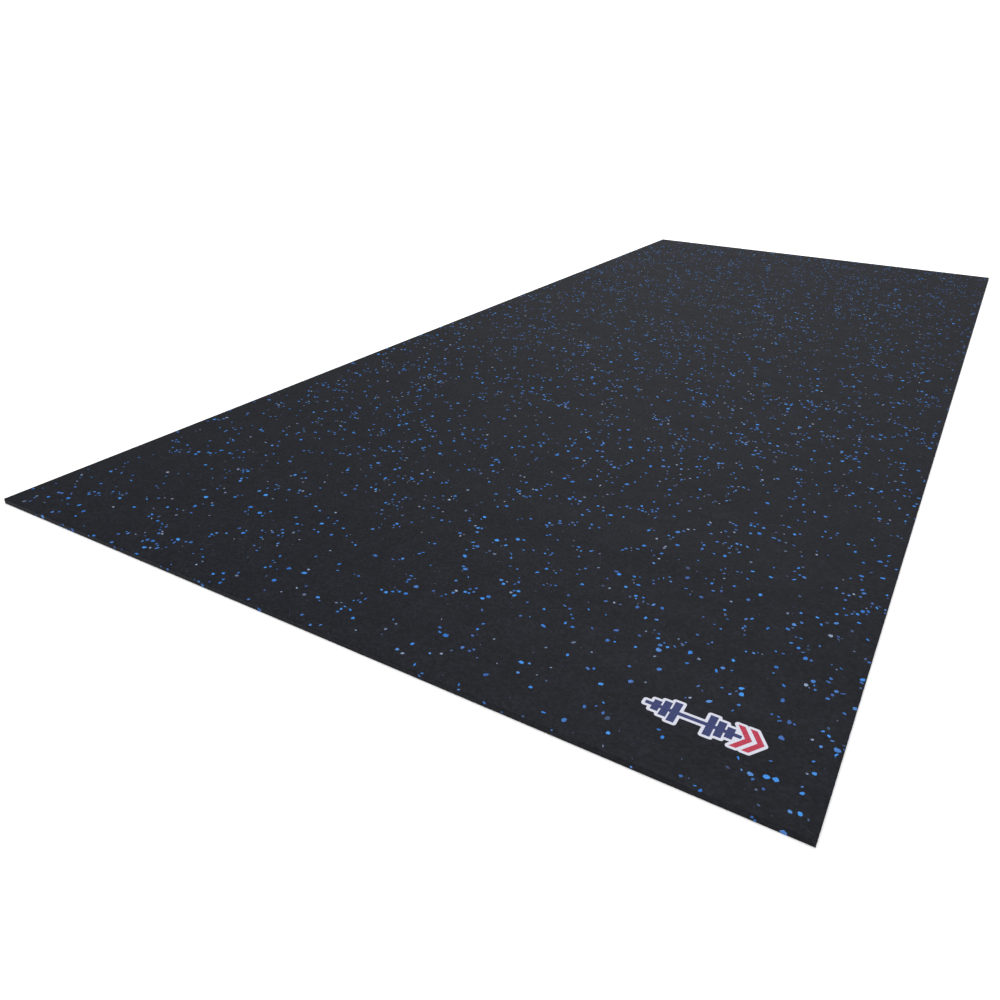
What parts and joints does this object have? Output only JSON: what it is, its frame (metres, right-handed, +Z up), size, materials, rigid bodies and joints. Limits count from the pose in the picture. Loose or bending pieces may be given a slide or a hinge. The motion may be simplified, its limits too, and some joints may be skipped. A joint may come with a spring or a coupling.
{
  "type": "treadmill floor mat",
  "caption": "Flat rectangular mat of pressed black rubber crumb with flush blue rubber chips and a small die-cut label in one corner, laid under a treadmill.",
  "frame": {"origin": "centre of the underside, on the floor", "axes": "+X across the mat towards the labelled long side, +Y along the mat away from the labelled short edge, +Z up out of the top face"},
  "size_m": [0.9144, 2.1336, 0.0063],
  "materials": {
    "crumb_rubber": "pressed tyre-rubber crumb, matt with a faint grazing sheen",
    "azure_chips": "matt azure EPDM rubber",
    "royal_chips": "matt royal blue EPDM rubber",
    "pale_chips": "matt pale lavender-grey EPDM rubber",
    "label_adhesive": "cured heat-seal adhesive",
    "label_film": "satin white vinyl film",
    "navy_print": "satin navy screen print",
    "red_print": "satin red screen print"
  },
  "bodies": {
    "root": {"rubber_sheet": "crumb_rubber", "top_chips_azure": "azure_chips", "top_chips_royal": "royal_chips", "top_chips_pale": "pale_chips", "underside_chips_azure": "azure_chips", "underside_chips_royal": "royal_chips", "underside_chips_pale": "pale_chips", "edge_chips_front": "azure_chips", "edge_chips_back": "azure_chips", "edge_chips_left": "azure_chips", "edge_chips_right": "azure_chips", "label_adhesive": "label_adhesive", "label_film": "label_film", "label_print_navy": "navy_print", "label_print_red": "red_print"}
  },
  "joints": []
}
